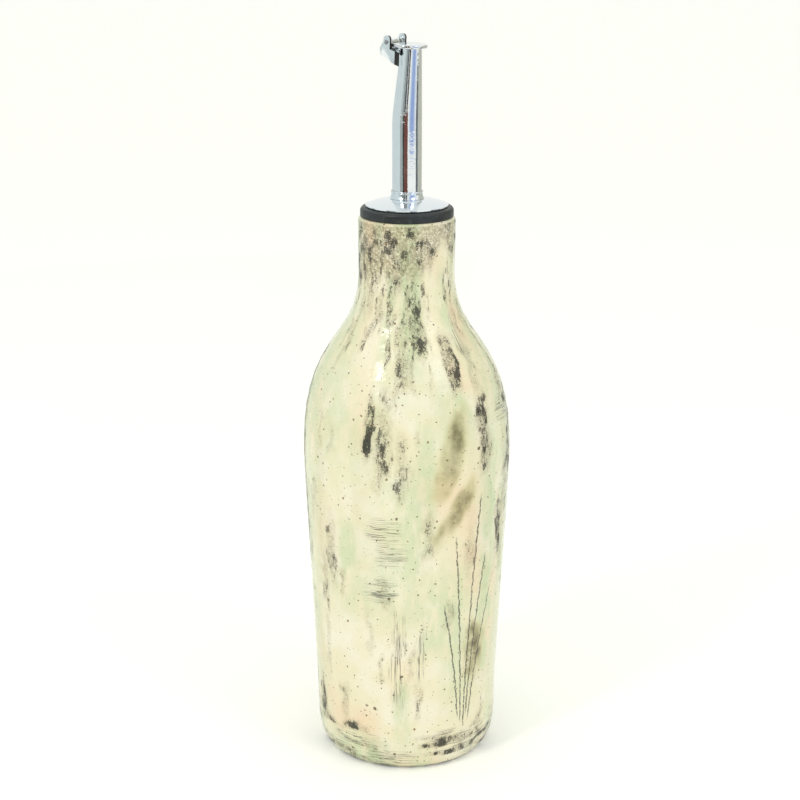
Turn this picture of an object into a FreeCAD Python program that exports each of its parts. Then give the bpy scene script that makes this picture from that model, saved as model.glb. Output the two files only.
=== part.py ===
import FreeCAD, Part
import math
import os

# Stoneware oil bottle with a chrome gravity-flap pourer in a rubber bung.
# Millimetres, +Z up, origin at the centre of the base, pouring side toward +X.

# Bottle
body_height = 228.0
foot_inner_radius = 24.0
foot_radius = 32.0
base_recess = 1.2
heel_radius = 37.8
heel_height = 12.5
wall_lean = 0.041
belly_radius = 42.9
belly_height = 131.0
neck_radius = 19.4
neck_base_height = 206.0
rim_radius = 19.6
rim_round = 1.6
wall = 5.2
floor_thickness = 7.0
neck_bore_radius = 12.0
mouth_round = 1.2
shoulder_fullness = 0.66
neck_sweep = 0.40

# Rubber bung
flange_radius = 18.7
flange_thickness = 3.8
flange_round = 1.5
plug_length = 26.0
plug_core_radius = 9.4
plug_fin_count = 4
plug_fin_thickness = 1.5
plug_clearance = 0.3
stem_running_clearance = 0.08

# Cover disc
disc_radius = 16.6
disc_thickness = 0.9
disc_edge_height = 0.9
disc_rise = 3.2
disc_land_radius = 7.3
disc_seat_width = 1.6

# Collar at the foot of the spout
collar_radius = 6.9
collar_waist_radius = 6.35
collar_lip_radius = 6.55
collar_height = 3.2
collar_fit = 0.03

# Spout
spout_radius = 6.0
spout_wall = 0.8
stem_below_bung = 3.0
bend_drop = 29.4
bend_length = 4.2
mouth_radius = 4.2
mouth_rise = 65.9
mouth_reach = 1.85
mouth_tilt = 3.0

# Air tube inside the spout
vent_radius = 1.5
vent_wall = 0.5
vent_drop = 7.5
vent_length = 81.0
vent_gap = 0.05

# Flap: lid, counterweight, pin and bracket, measured in the plane of the mouth
lid_radius = 7.0
lid_thickness = 1.4
lid_shift = 0.7
lid_gap = 0.08
lid_round = 0.5
pin_setback = 7.5
pin_lift = 1.0
pin_eye_wall = 0.5
pin_radius = 0.5
pin_fit = 0.02
pin_running_clearance = 0.06
pin_head_radius = 1.0
pin_head_height = 0.55
bracket_half_width = 3.05
bracket_side_clearance = 0.3
bracket_depth = 2.0
knuckle_radius = 1.0
knuckle_clearance = 0.4
cheek_inner = 5.15
cheek_thickness = 1.1
ear_rise = 1.1
ear_radius = 1.5
web_thickness = 1.3
bend_radius = 0.9
weight_back = 3.4
weight_drop = 4.8
weight_front = 5.4
weight_front_bevel = 1.5
weight_front_top = 3.7
weight_front_bottom = 8.9
weight_notch_drop = 2.5


def point(radius, height):
    """Point in the drawing plane of a turned piece."""
    return FreeCAD.Vector(radius, 0, height)


def line(start, end):
    """Straight edge between two points."""
    return Part.makeLine(start, end)


def arc(start, middle, end):
    """Circular edge through three points."""
    return Part.Arc(start, middle, end).toShape()


def curve(start, start_handle, end_handle, end):
    """Smooth edge from start to end, shaped by two handles."""
    bezier = Part.BezierCurve()
    bezier.setPoles([start, start_handle, end_handle, end])
    return bezier.toShape()


def corner(start, sharp, end):
    """Rounded edge that replaces a sharp corner between two points."""
    share = 0.5523
    return curve(start, start + (sharp - start) * share, end + (sharp - end) * share, end)


def chain(points):
    """Straight edges through the points, open at the end."""
    return [line(points[i], points[i + 1]) for i in range(len(points) - 1)]


def turned(edges):
    """Solid made by turning a closed outline once about the vertical axis."""
    face = Part.Face(Part.Wire(Part.__sortEdges__(edges)))
    solid = face.revolve(FreeCAD.Vector(0, 0, 0), FreeCAD.Vector(0, 0, 1), 360)
    return solid


def prism(points, low, high):
    """Solid with an outline in the upright plane, from low to high across."""
    outline = Part.makePolygon([FreeCAD.Vector(x, low, z) for x, z in points + points[:1]])
    return Part.Face(outline).extrude(FreeCAD.Vector(0, high - low, 0))


def rod(radius, low, high, place):
    """Round rod across the hinge, from low to high."""
    base = FreeCAD.Vector(place[0], low, place[1])
    return Part.makeCylinder(radius, high - low, base, FreeCAD.Vector(0, 1, 0))


# Heights that follow from the pieces standing on each other
flange_top = body_height + flange_thickness
disc_top = flange_top + disc_rise
plug_bottom = body_height - plug_length
stem_bottom = plug_bottom - stem_below_bung

# Bottle outline: outside from the foot ring up, then inside from the mouth down
foot_edge = point(foot_radius, 0)
heel = point(heel_radius, heel_height)
belly = point(belly_radius, belly_height)
neck_base = point(neck_radius, neck_base_height)
wall_handle = (belly_height - heel_height) * 0.5
belly_handle = (belly_height - heel_height) * 0.1
shoulder_height = neck_base_height - belly_height

outside = chain([point(0, base_recess), point(foot_inner_radius - base_recess, base_recess),
                 point(foot_inner_radius, 0), foot_edge])
outside.append(corner(foot_edge, point(heel_radius - wall_lean * heel_height, 0), heel))
outside.append(curve(heel, heel + point(wall_lean * wall_handle, wall_handle),
                     belly - point(0, belly_handle), belly))
outside.append(curve(belly, belly + point(0, shoulder_fullness * shoulder_height),
                     neck_base - point(0, neck_sweep * shoulder_height), neck_base))
rim_side = point(rim_radius, body_height - rim_round)
rim_edge = point(rim_radius - rim_round, body_height)
outside.append(line(neck_base, rim_side))
outside.append(corner(rim_side, point(rim_radius, body_height), rim_edge))

mouth_edge = point(neck_bore_radius + mouth_round, body_height)
bore_top = point(neck_bore_radius, body_height - mouth_round)
bore_bottom = point(neck_bore_radius, neck_base_height - wall)
belly_inside = point(belly_radius - wall, belly_height)
heel_inside = point(heel_radius - wall, heel_height + floor_thickness)
floor_edge = point(foot_radius - wall, floor_thickness)
inside_height = neck_base_height - wall - belly_height
inside_wall = (belly_height - heel_height - floor_thickness) * 0.5
inside = [line(rim_edge, mouth_edge)]
inside.append(corner(mouth_edge, point(neck_bore_radius, body_height), bore_top))
inside.append(line(bore_top, bore_bottom))
inside.append(curve(bore_bottom, bore_bottom - point(0, neck_sweep * inside_height),
                    belly_inside + point(0, shoulder_fullness * inside_height), belly_inside))
inside.append(curve(belly_inside, belly_inside - point(0, belly_handle),
                    heel_inside + point(wall_lean * inside_wall, inside_wall), heel_inside))
inside.append(corner(heel_inside, point(heel_radius - wall - wall_lean * heel_height, floor_thickness),
                     floor_edge))
inside += chain([floor_edge, point(0, floor_thickness), point(0, base_recess)])
bottle_body = turned(outside + inside)

# Rubber bung: flange on the rim, plug with fins in the neck, bore for the stem of the spout
bung_bore = spout_radius + stem_running_clearance
fin_radius = neck_bore_radius - plug_clearance
fin_pitch = plug_length / (plug_fin_count + 0.5)
plug_side = [point(plug_core_radius, body_height)]
for fin in range(plug_fin_count):
    fin_top = body_height - fin_pitch * (fin + 0.6)
    fin_bottom = fin_top - plug_fin_thickness
    plug_side.append(point(plug_core_radius, fin_top))
    plug_side.append(point(fin_radius, fin_top - plug_fin_thickness * 0.2))
    plug_side.append(point(fin_radius, fin_top - plug_fin_thickness * 0.6))
    plug_side.append(point(plug_core_radius, fin_bottom))
plug_side.append(point(plug_core_radius, plug_bottom + 1.5))
plug_side.append(point(plug_core_radius - 0.8, plug_bottom))
plug_side.append(point(bung_bore, plug_bottom))
plug_side.append(point(bung_bore, flange_top))
flange_shoulder = point(flange_radius - flange_round, flange_top)
flange_side = point(flange_radius, flange_top - flange_round)
plug_side.append(flange_shoulder)
bung_edges = chain(plug_side)
bung_edges.append(corner(flange_shoulder, point(flange_radius, flange_top), flange_side))
bung_edges += chain([flange_side, point(flange_radius, body_height), point(plug_core_radius, body_height)])
stopper_bung = turned(bung_edges)

# Cover disc: pressed dome with a flat land for the collar and a flat seat at its edge
disc_hole = spout_radius + collar_fit
dome_drop = disc_top - flange_top - disc_edge_height
dome_span = disc_radius - disc_land_radius
dome_edge = point(disc_radius, flange_top + disc_edge_height)
dome_land = point(disc_land_radius, disc_top)
dome_middle = point(disc_land_radius + dome_span * 0.5, disc_top - dome_drop * 0.4)
seat_outer = point(disc_radius - disc_edge_height * 0.4, flange_top)
seat_inner = point(disc_radius - disc_seat_width, flange_top)
land_under = point(disc_land_radius, disc_top - disc_thickness)
under_middle = point((seat_inner.x + land_under.x) * 0.5, seat_inner.z + (land_under.z - seat_inner.z) * 0.6)
disc_edges = chain([point(disc_hole, land_under.z), point(disc_hole, disc_top), dome_land])
disc_edges.append(arc(dome_land, dome_middle, dome_edge))
disc_edges += chain([dome_edge, seat_outer, seat_inner])
disc_edges.append(arc(seat_inner, under_middle, land_under))
disc_edges.append(line(land_under, point(disc_hole, land_under.z)))
cover_disc = turned(disc_edges)

# Collar: flared foot, narrow waist and a rolled lip around the spout
collar_bore = spout_radius + collar_fit
collar_top = disc_top + collar_height
collar_foot = point(collar_radius, disc_top)
collar_foot_top = point(collar_radius, disc_top + 0.4)
collar_waist = point(collar_waist_radius, disc_top + collar_height * 0.7)
collar_hollow = point(collar_waist_radius + (collar_radius - collar_waist_radius) * 0.25,
                      disc_top + 0.4 + collar_height * 0.22)
lip_low = point(collar_lip_radius, collar_top - 0.6)
lip_side = point(collar_lip_radius, collar_top - 0.3)
lip_top = point(collar_lip_radius - 0.3, collar_top)
collar_edges = chain([point(collar_bore, disc_top), collar_foot, collar_foot_top])
collar_edges.append(arc(collar_foot_top, collar_hollow, collar_waist))
collar_edges += chain([collar_waist, lip_low, lip_side])
collar_edges.append(corner(lip_side, point(collar_lip_radius, collar_top), lip_top))
collar_edges += chain([lip_top, point(collar_bore, collar_top), point(collar_bore, disc_top)])
spout_collar = turned(collar_edges)


# Spout: straight stem, short bend, then a cone that leans to the pouring side
mouth_height = body_height + mouth_rise
bend_height = mouth_height - bend_drop
mouth_centre = FreeCAD.Vector(mouth_reach, 0, mouth_height)
mouth_turn = FreeCAD.Rotation(FreeCAD.Vector(0, 1, 0), mouth_tilt)
mouth_frame = FreeCAD.Placement(mouth_centre, mouth_turn)
bend_share = bend_length / bend_drop * 0.5


def ring(radius, centre, normal):
    """Round wire."""
    return Part.Wire(Part.makeCircle(radius, centre, normal))


def spout_core(inset, past):
    """Filled spout, its radius reduced by inset, reaching past both ends."""
    upright = FreeCAD.Vector(0, 0, 1)
    mouth_normal = mouth_turn.multVec(upright)
    bend_end = FreeCAD.Vector(mouth_reach * bend_share, 0, bend_height + bend_length)
    bend_radius_end = spout_radius - (spout_radius - mouth_radius) * bend_share
    low = stem_bottom - past
    stem = Part.makeCylinder(spout_radius - inset, bend_height - low, FreeCAD.Vector(0, 0, low))
    rings = [ring(spout_radius - inset, FreeCAD.Vector(0, 0, bend_height), upright)]
    rings.append(ring(bend_radius_end - inset, bend_end, upright))
    rings.append(ring(mouth_radius - inset, mouth_centre, mouth_normal))
    core = stem.fuse(Part.makeLoft(rings, True, True))
    if past > 0:
        core = core.fuse(Part.makeCylinder(mouth_radius - inset, past, mouth_centre, mouth_normal))
    return core


spout_outside = spout_core(0, 0)
spout_tube = spout_outside.cut(spout_core(spout_wall, 1.0))

# Air tube along the back of the stem
vent_axis = -(spout_radius - spout_wall - vent_gap - vent_radius)
vent_base = FreeCAD.Vector(vent_axis, 0, bend_height - vent_drop - vent_length)
vent_bore = Part.makeCylinder(vent_radius - vent_wall, vent_length, vent_base)
vent_tube = Part.makeCylinder(vent_radius, vent_length, vent_base).cut(vent_bore)

# Flap pieces are drawn in the plane of the mouth, then set on it
pin_place = (-pin_setback, lid_gap + lid_thickness * 0.5 + pin_lift)
pin_x = pin_place[0]
pin_z = pin_place[1]
cheek_outer = cheek_inner + cheek_thickness
arm_inner = bracket_half_width + bracket_side_clearance

# Lid: round plate, two arms back to eyes on the pin, a gap between them for the knuckle
plate = Part.makeCylinder(lid_radius, lid_thickness, FreeCAD.Vector(-lid_shift, 0, lid_gap))
plate = plate.makeFillet(lid_round, [edge for edge in plate.Edges if len(edge.Vertexes) == 1])
eye_radius = pin_radius + pin_eye_wall
notch_edge = pin_x + knuckle_radius + knuckle_clearance
arm_front = -lid_shift - math.sqrt(max(lid_radius ** 2 - cheek_inner ** 2, 0.01)) + lid_round + 0.6
lid = plate.cut(Part.makeBox(lid_radius * 2, arm_inner * 2, lid_thickness * 3,
                             FreeCAD.Vector(notch_edge - lid_radius * 2, -arm_inner, -lid_thickness)))
for side in (-1, 1):
    arm_low = min(side * arm_inner, side * cheek_inner)
    arm_width = cheek_inner - arm_inner
    arm_back = pin_x - eye_radius
    arm_corner = FreeCAD.Vector(arm_back, arm_low, lid_gap)
    arm = Part.makeBox(arm_front - arm_back, arm_width, lid_thickness, arm_corner)
    lug = Part.makeBox(eye_radius * 2, arm_width, pin_z - lid_gap, arm_corner)
    lid = lid.fuse(arm).fuse(lug).fuse(rod(eye_radius, arm_low, arm_low + arm_width, pin_place))
lid = lid.cut(rod(pin_radius + pin_fit, -cheek_outer, cheek_outer, pin_place)).removeSplitter()

# Counterweight: strip bent around the back of the spout, cheeks reaching forward, ears on the pin
weight_outline = [(pin_x + ear_radius, pin_z + ear_rise), (pin_x + ear_radius, pin_z - weight_notch_drop),
                  (pin_x + weight_front, pin_z - weight_front_top),
                  (pin_x + weight_front, pin_z - weight_front_bottom),
                  (pin_x - weight_back + 0.5, pin_z - weight_drop),
                  (pin_x - weight_back, pin_z - weight_drop * 0.5),
                  (pin_x - ear_radius, pin_z + ear_rise)]
weight = prism(weight_outline, -cheek_outer, cheek_outer)
weight = weight.fuse(rod(ear_radius, -cheek_outer, cheek_outer, (pin_x, pin_z + ear_rise))).removeSplitter()
back_edges = []
for edge in weight.Edges:
    middle = edge.CenterOfMass
    if abs(abs(middle.y) - cheek_outer) < 0.01 and middle.x < pin_x - ear_radius and middle.z < pin_z:
        back_edges.append(edge)
weight = weight.makeFillet(bend_radius, back_edges)
web_front = pin_x - weight_back + web_thickness
web_top = pin_z - weight_notch_drop + 0.3
hollow_back = pin_x - weight_back * 3
hollow_front = pin_x + weight_front * 2
hollow_top = pin_z + ear_rise * 8
hollow_low = pin_z - weight_front_bottom * 2
hollow = [(web_front, web_top), (hollow_back, web_top), (hollow_back, hollow_top), (hollow_front, hollow_top),
          (hollow_front, hollow_low), (web_front, hollow_low)]
weight = weight.cut(prism(hollow, -cheek_inner, cheek_inner))
bevel_start = pin_x + weight_front - weight_front_bevel
for side in (-1, 1):
    corner_points = [(bevel_start, side * cheek_outer), (pin_x + weight_front, side * cheek_inner),
                     (hollow_front, side * cheek_inner), (hollow_front, side * cheek_outer * 2),
                     (bevel_start, side * cheek_outer * 2)]
    closed_points = corner_points + corner_points[:1]
    bevel = Part.makePolygon([FreeCAD.Vector(x, y, hollow_low) for x, y in closed_points])
    weight = weight.cut(Part.Face(bevel).extrude(FreeCAD.Vector(0, 0, weight_front_bottom * 2)))
weight = weight.cut(rod(pin_radius + pin_fit, -cheek_outer * 2, cheek_outer * 2, pin_place)).removeSplitter()

# Pin: rod with a domed head on the outside of each ear
pin = rod(pin_radius, -cheek_outer, cheek_outer, pin_place)
dome_radius = (pin_head_radius ** 2 + pin_head_height ** 2) / (2 * pin_head_height)
for side in (-1, 1):
    ball_centre = FreeCAD.Vector(pin_x, side * (cheek_outer + pin_head_height - dome_radius), pin_z)
    head_low = min(side * cheek_outer, side * (cheek_outer + pin_head_height))
    head = Part.makeSphere(dome_radius, ball_centre).common(
        rod(pin_head_radius, head_low, head_low + pin_head_height, pin_place))
    pin = pin.fuse(head)
pin = pin.removeSplitter()

# Bracket: knuckle around the pin on a saddle that is brazed to the back of the spout
saddle_top = -0.25
saddle = prism([(pin_x - knuckle_radius * 0.9, pin_z - 0.4), (pin_x + knuckle_radius, pin_z),
                (pin_x + knuckle_radius, saddle_top), (0, saddle_top), (0, -bracket_depth),
                (-mouth_radius - 0.2, -bracket_depth), (pin_x + 0.4, saddle_top - 0.8)],
               -bracket_half_width, bracket_half_width)
bracket = saddle.fuse(rod(knuckle_radius, -bracket_half_width, bracket_half_width, pin_place))
bracket = bracket.cut(rod(pin_radius + pin_running_clearance, -cheek_outer, cheek_outer, pin_place))
bracket.Placement = mouth_frame.multiply(bracket.Placement)
bracket = bracket.cut(spout_outside).removeSplitter()

lid.Placement = mouth_frame.multiply(lid.Placement)
weight.Placement = mouth_frame.multiply(weight.Placement)
pin.Placement = mouth_frame.multiply(pin.Placement)

os.makedirs("parts", exist_ok=True)
pieces = {"bottle_body": bottle_body, "stopper_bung": stopper_bung, "cover_disc": cover_disc,
          "spout_collar": spout_collar, "spout_tube": spout_tube, "vent_tube": vent_tube,
          "hinge_bracket": bracket, "hinge_pin": pin, "flap_lid": lid, "counterweight_yoke": weight}
for name, shape in pieces.items():
    shape.exportStep("parts/" + name + ".step")
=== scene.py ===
import math
import random

import bmesh
import bpy
import numpy as np
from bpy.props import FloatProperty, FloatVectorProperty, IntProperty, PointerProperty
from mathutils import Euler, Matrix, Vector


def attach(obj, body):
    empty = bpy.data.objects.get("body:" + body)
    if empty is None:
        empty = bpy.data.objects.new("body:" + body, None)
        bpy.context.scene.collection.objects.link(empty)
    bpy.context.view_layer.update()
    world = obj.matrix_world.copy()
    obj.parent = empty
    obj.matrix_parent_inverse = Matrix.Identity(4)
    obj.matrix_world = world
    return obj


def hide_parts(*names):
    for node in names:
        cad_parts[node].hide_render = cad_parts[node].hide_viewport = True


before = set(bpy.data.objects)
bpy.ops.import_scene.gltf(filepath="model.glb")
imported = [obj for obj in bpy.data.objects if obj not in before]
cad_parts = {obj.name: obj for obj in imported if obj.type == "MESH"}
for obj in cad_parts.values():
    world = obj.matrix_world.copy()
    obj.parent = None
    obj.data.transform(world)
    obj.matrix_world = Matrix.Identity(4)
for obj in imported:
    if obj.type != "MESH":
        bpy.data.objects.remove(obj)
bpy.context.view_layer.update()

bl_info = {
    "name": "Stoneware Oil Bottle",
    "version": (1, 0, 0),
    "blender": (4, 5, 0),
    "location": "View3D > Sidebar > Oil Bottle",
    "description": "Builds the looks of a stoneware oil bottle with a chrome pourer, and its studio",
    "category": "Object",
}

# Height of wall, in metres, that counts as 1 in the wrap coordinates and in the random fields
WRAP_HEIGHT = 0.2657
FIELD_HEIGHT = 0.232


# Settings


class BottleSettings(bpy.types.PropertyGroup):
    """Shape and decoration of the stoneware bottle."""

    height: FloatProperty(name="Height", description="Base to rim", default=0.228, unit="LENGTH")
    foot_radius: FloatProperty(name="Foot radius", description="Outer edge of the foot ring",
                               default=0.032, unit="LENGTH")
    foot_inner: FloatProperty(name="Foot recess", description="Radius of the recess under the base",
                              default=0.024, unit="LENGTH")
    recess: FloatProperty(name="Recess depth", description="Depth of the recess under the base",
                          default=0.0012, unit="LENGTH")
    heel_radius: FloatProperty(name="Heel radius", description="Radius where the wall starts",
                               default=0.0378, unit="LENGTH")
    heel_height: FloatProperty(name="Heel height", description="Height where the wall starts",
                               default=0.0125, unit="LENGTH")
    belly_radius: FloatProperty(name="Belly radius", description="Widest radius",
                                default=0.0429, unit="LENGTH")
    belly_height: FloatProperty(name="Belly height", description="Height of the widest place",
                                default=0.131, unit="LENGTH")
    neck_radius: FloatProperty(name="Neck radius", description="Radius at the foot of the neck",
                               default=0.0194, unit="LENGTH")
    neck_height: FloatProperty(name="Neck height", description="Height of the foot of the neck",
                               default=0.206, unit="LENGTH")
    rim_radius: FloatProperty(name="Rim radius", description="Radius at the rim",
                              default=0.0196, unit="LENGTH")
    rim_round: FloatProperty(name="Rim rounding", description="Rounding of the rim",
                             default=0.0016, unit="LENGTH")
    bore_radius: FloatProperty(name="Bore radius", description="Inside of the neck",
                               default=0.012, unit="LENGTH")
    wall: FloatProperty(name="Wall", description="Thickness of the wall", default=0.0052, unit="LENGTH")
    floor: FloatProperty(name="Floor", description="Thickness of the floor", default=0.007, unit="LENGTH")
    lean: FloatProperty(name="Wall lean", description="Outward lean of the lower wall", default=0.041)
    fullness: FloatProperty(name="Shoulder fullness", description="Roundness of the shoulder", default=0.66)
    sweep: FloatProperty(name="Neck sweep", description="Softness of the curve into the neck", default=0.40)
    wobble: FloatProperty(name="Wobble", description="Unevenness of the thrown wall, always inward",
                          default=0.0005, unit="LENGTH")
    rings: FloatProperty(name="Throwing rings", description="Depth of the finger rings",
                         default=0.00012, unit="LENGTH")
    segments: IntProperty(name="Segments", description="Divisions around the bottle", default=288, min=24)
    marks: IntProperty(name="Marks", description="Number of dry-brushed marks round the wall",
                       default=120, min=0)
    seed: IntProperty(name="Seed", description="Layout of the oxide marks", default=31)


class PourerSettings(bpy.types.PropertyGroup):
    """Shape of the bung, disc, collar and spout."""

    flange_radius: FloatProperty(name="Flange radius", description="Rubber flange on the rim",
                                 default=0.0187, unit="LENGTH")
    flange_height: FloatProperty(name="Flange height", description="Thickness of the flange",
                                 default=0.0038, unit="LENGTH")
    plug_length: FloatProperty(name="Plug length", description="Bung below the rim",
                               default=0.026, unit="LENGTH")
    plug_radius: FloatProperty(name="Plug radius", description="Core of the plug",
                               default=0.0094, unit="LENGTH")
    fin_radius: FloatProperty(name="Fin radius", description="Sealing fins of the plug",
                              default=0.0117, unit="LENGTH")
    fins: IntProperty(name="Fins", description="Sealing fins on the plug", default=4, min=1)
    disc_radius: FloatProperty(name="Disc radius", description="Domed chrome disc",
                               default=0.0166, unit="LENGTH")
    disc_rise: FloatProperty(name="Disc rise", description="Height of the dome",
                             default=0.0032, unit="LENGTH")
    collar_radius: FloatProperty(name="Collar radius", description="Foot of the collar",
                                 default=0.0069, unit="LENGTH")
    collar_height: FloatProperty(name="Collar height", description="Height of the collar",
                                 default=0.0032, unit="LENGTH")
    spout_radius: FloatProperty(name="Spout radius", description="Straight part of the spout",
                                default=0.006, unit="LENGTH")
    spout_wall: FloatProperty(name="Spout wall", description="Sheet thickness of the spout",
                              default=0.0008, unit="LENGTH")
    stem_bottom: FloatProperty(name="Stem bottom", description="Height of the lower end of the spout",
                               default=0.199, unit="LENGTH")
    bend_height: FloatProperty(name="Bend height", description="Where the spout starts to lean",
                               default=0.2645, unit="LENGTH")
    bend_length: FloatProperty(name="Bend length", description="Length of the soft bend",
                               default=0.0042, unit="LENGTH")
    mouth_radius: FloatProperty(name="Mouth radius", description="Outer radius at the mouth",
                                default=0.0042, unit="LENGTH")
    mouth_height: FloatProperty(name="Mouth height", description="Height of the mouth's centre",
                                default=0.2939, unit="LENGTH")
    mouth_reach: FloatProperty(name="Mouth reach", description="Offset of the mouth to the pouring side",
                               default=0.00185, unit="LENGTH")
    mouth_tilt: FloatProperty(name="Mouth tilt", description="Slope of the mouth to the pouring side",
                              default=math.radians(3.0), subtype="ANGLE")


class StudioSettings(bpy.types.PropertyGroup):
    """Camera and light of the product picture."""

    azimuth: FloatProperty(name="Azimuth", description="Direction of the camera round the bottle",
                           default=math.radians(31.0), subtype="ANGLE")
    distance: FloatProperty(name="Distance", description="Camera to the bottle's axis",
                            default=0.6682, unit="LENGTH")
    height: FloatProperty(name="Height", description="Height of the camera", default=0.3549, unit="LENGTH")
    pitch: FloatProperty(name="Pitch", description="Downward tilt of the camera",
                         default=math.radians(16.97), subtype="ANGLE")
    yaw: FloatProperty(name="Yaw", description="Sideways turn of the camera", default=math.radians(0.237),
                       subtype="ANGLE")
    lens: FloatProperty(name="Lens", description="Focal length", default=76.28, unit="CAMERA")
    world_light: FloatProperty(name="Room light", description="Strength of the white room", default=0.86)
    paper: FloatVectorProperty(name="Paper", description="Colour of the backdrop paper", size=3,
                               subtype="COLOR", default=(0.985, 0.99, 0.955), min=0.0, max=1.0)


# Mesh helpers


def bezier(a, b, c, d, count):
    """Points along a cubic curve, the first one included and the last one left out."""
    t = np.linspace(0.0, 1.0, count, endpoint=False)[:, None]
    a, b, c, d = (np.array(p, float) for p in (a, b, c, d))
    s = 1.0 - t
    return s ** 3 * a + 3 * s ** 2 * t * b + 3 * s * t ** 2 * c + t ** 3 * d


def corner(a, sharp, b, count):
    """Points of a rounded corner from a to b."""
    a, sharp, b = (np.array(p, float) for p in (a, sharp, b))
    return bezier(a, a + (sharp - a) * 0.5523, b + (sharp - b) * 0.5523, b, count)


def straight(a, b, count):
    """Points along a line, the last one left out."""
    t = np.linspace(0.0, 1.0, count, endpoint=False)[:, None]
    return np.array(a, float) * (1 - t) + np.array(b, float) * t


def new_object(name, verts, faces, material, sharp=40.0):
    """Mesh object with smooth shading and hard edges above the given angle."""
    mesh = bpy.data.meshes.new(name)
    mesh.from_pydata([tuple(v) for v in verts], [], faces)
    mesh.validate()
    mesh.polygons.foreach_set("use_smooth", [True] * len(mesh.polygons))
    mesh.set_sharp_from_angle(angle=math.radians(sharp))
    mesh.materials.append(material)
    obj = bpy.data.objects.new(name, mesh)
    bpy.context.scene.collection.objects.link(obj)
    return obj


def grid_faces(rows, columns):
    """Quads of a tube whose rows and columns both close on themselves."""
    faces = []
    for i in range(rows):
        j = (i + 1) % rows
        for k in range(columns):
            m = (k + 1) % columns
            faces.append((i * columns + k, i * columns + m, j * columns + m, j * columns + k))
    return faces


def lathe(name, profile, segments, material, sharp=40.0):
    """Turns a closed outline of radius and height about the vertical axis."""
    angles = np.linspace(0, 2 * math.pi, segments, endpoint=False)
    rows = [np.stack([r * np.cos(angles), r * np.sin(angles), np.full(segments, z)], 1) for r, z in profile]
    return new_object(name, np.concatenate(rows), grid_faces(len(profile), segments), material, sharp)


def keep(obj, body, slot, *nodes):
    """Files a piece under its body and hides the CAD nodes it stands for; the slot argument is not used."""
    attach(obj, body)
    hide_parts(*nodes)


# Shader helpers


def link_value(tree, socket, value):
    """Links a node output to a socket, or sets a plain value on it."""
    if isinstance(value, bpy.types.NodeSocket):
        tree.links.new(value, socket)
    else:
        socket.default_value = value


def math_node(tree, operation, a, b=0.0, c=0.0, clamp=False):
    """Math node with up to three values."""
    node = tree.nodes.new("ShaderNodeMath")
    node.operation = operation
    node.use_clamp = clamp
    for socket, value in zip(node.inputs, (a, b, c)):
        link_value(tree, socket, value)
    return node.outputs[0]


def times(tree, a, b, clamp=False):
    """Product of two values."""
    return math_node(tree, "MULTIPLY", a, b, clamp=clamp)


def larger(tree, a, b):
    """Larger of two values."""
    return math_node(tree, "MAXIMUM", a, b)


def ramp(tree, value, low, high, start=0.0, end=1.0):
    """Smooth step from start to end while value goes from low to high."""
    node = tree.nodes.new("ShaderNodeMapRange")
    node.interpolation_type = "SMOOTHSTEP"
    values = {"Value": value, "From Min": low, "From Max": high, "To Min": start, "To Max": end}
    for key, item in values.items():
        link_value(tree, node.inputs[key], item)
    return node.outputs["Result"]


def mix_color(tree, factor, a, b, blend="MIX"):
    """Mix of two colours."""
    node = tree.nodes.new("ShaderNodeMix")
    node.data_type = "RGBA"
    node.blend_type = blend
    link_value(tree, node.inputs["Factor"], factor)
    for socket, value in ((node.inputs[6], a), (node.inputs[7], b)):
        link_value(tree, socket, (*value, 1.0) if isinstance(value, tuple) and len(value) == 3 else value)
    return node.outputs[2]


def noise(tree, vector, scale, detail=3.0, roughness=0.55):
    """Noise between 0 and 1."""
    node = tree.nodes.new("ShaderNodeTexNoise")
    link_value(tree, node.inputs["Vector"], vector)
    node.inputs["Scale"].default_value = scale
    node.inputs["Detail"].default_value = detail
    node.inputs["Roughness"].default_value = roughness
    return node.outputs["Fac"]


def stretched(tree, vector, x, y, z):
    """Coordinates scaled by axis."""
    node = tree.nodes.new("ShaderNodeVectorMath")
    node.operation = "MULTIPLY"
    link_value(tree, node.inputs[0], vector)
    node.inputs[1].default_value = (x, y, z)
    return node.outputs[0]


def new_group(name, inputs, outputs):
    """Empty shader node group with named sockets."""
    tree = bpy.data.node_groups.new(name, "ShaderNodeTree")
    for label, kind in inputs:
        tree.interface.new_socket(name=label, in_out="INPUT", socket_type=kind)
    for label, kind in outputs:
        tree.interface.new_socket(name=label, in_out="OUTPUT", socket_type=kind)
    return tree, tree.nodes.new("NodeGroupInput"), tree.nodes.new("NodeGroupOutput")


def use_group(tree, group, **values):
    """Group node in a material, its inputs set by name."""
    node = tree.nodes.new("ShaderNodeGroup")
    node.node_tree = group
    for key, value in values.items():
        link_value(tree, node.inputs[key], value)
    return node


def new_material(name):
    """Node material with its Principled shader."""
    material = bpy.data.materials.new(name)
    material.use_nodes = True
    tree = material.node_tree
    return material, tree, tree.nodes["Principled BSDF"]


def add_bump(tree, shader, height, strength, distance):
    """Bump from a height into the shader's normal."""
    node = tree.nodes.new("ShaderNodeBump")
    node.inputs["Strength"].default_value = strength
    node.inputs["Distance"].default_value = distance
    tree.links.new(height, node.inputs["Height"])
    tree.links.new(node.outputs[0], shader.inputs["Normal"])


def attribute(tree, name):
    """Number painted on the mesh."""
    node = tree.nodes.new("ShaderNodeAttribute")
    node.attribute_name = name
    return node.outputs["Fac"]


def object_point(tree):
    """Object coordinates."""
    return tree.nodes.new("ShaderNodeTexCoord").outputs["Object"]


FLOAT = "NodeSocketFloat"
COLOR = "NodeSocketColor"
VECTOR = "NodeSocketVector"


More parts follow.
